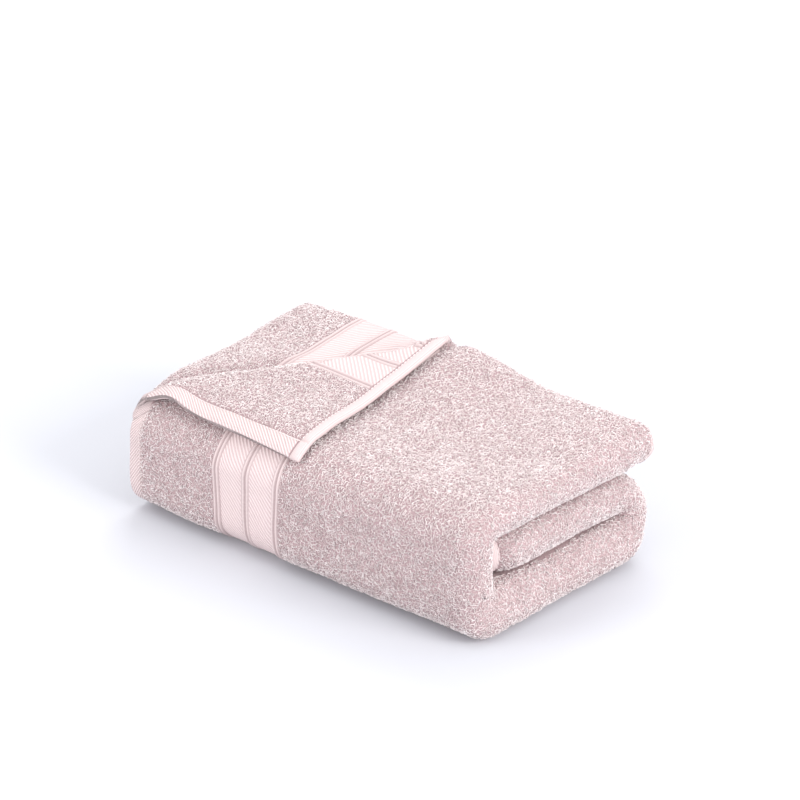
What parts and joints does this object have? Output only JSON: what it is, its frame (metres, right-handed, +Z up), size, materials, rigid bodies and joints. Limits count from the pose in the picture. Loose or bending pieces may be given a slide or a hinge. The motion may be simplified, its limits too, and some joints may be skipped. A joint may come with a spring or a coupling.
{
  "type": "folded bath towel",
  "caption": "Bath towel folded into a flat package, with woven border bands near its end hems and a corner of its outer layer turned back over the top.",
  "frame": {"origin": "centre of the underside of the folded package, on the surface it lies on", "axes": "+X along the package, from the end hems to the crosswise folds; +Y from the rounded front fold to the rear fold; +Z up"},
  "size_m": [0.35, 0.213, 0.1269],
  "materials": {
    "terry": "matte",
    "twill": "matte",
    "ribs": "matte",
    "hem": "matte",
    "thread": "satin"
  },
  "bodies": {
    "folded_towel": {"border_ribs_1_a": "ribs", "border_ribs_1_b": "ribs", "border_ribs_2_a": "ribs", "border_ribs_2_b": "ribs", "border_ribs_3_a": "ribs", "border_ribs_3_b": "ribs", "border_twill_1_a": "twill", "border_twill_1_b": "twill", "border_twill_2_a": "twill", "border_twill_2_b": "twill", "end_hem_a": "hem", "end_hem_b": "hem", "end_hem_seam_a": "thread", "end_hem_seam_b": "thread", "end_terry_a": "terry", "end_terry_b": "terry", "flap_fold": "terry", "side_hem_inner": "hem", "side_hem_outer": "hem", "side_hem_seam_inner": "thread", "side_hem_seam_outer": "thread", "terry_field": "terry"},
    "turned_corner": {"flap_border_ribs_1": "ribs", "flap_border_ribs_2": "ribs", "flap_border_ribs_3": "ribs", "flap_border_twill_1": "twill", "flap_border_twill_2": "twill", "flap_end_hem": "hem", "flap_end_seam": "thread", "flap_end_terry": "terry", "flap_side_hem": "hem", "flap_side_seam": "thread", "flap_terry": "terry"}
  },
  "joints": [
    {"name": "corner_turn", "type": "hinge", "parent": "folded_towel", "child": "turned_corner", "pos_m": [-0.175, -0.086, 0.104], "axis": [-0.6628, -0.7462, -0.0618], "range_deg": [0, 180], "deforming": ["flap_fold"]}
  ]
}
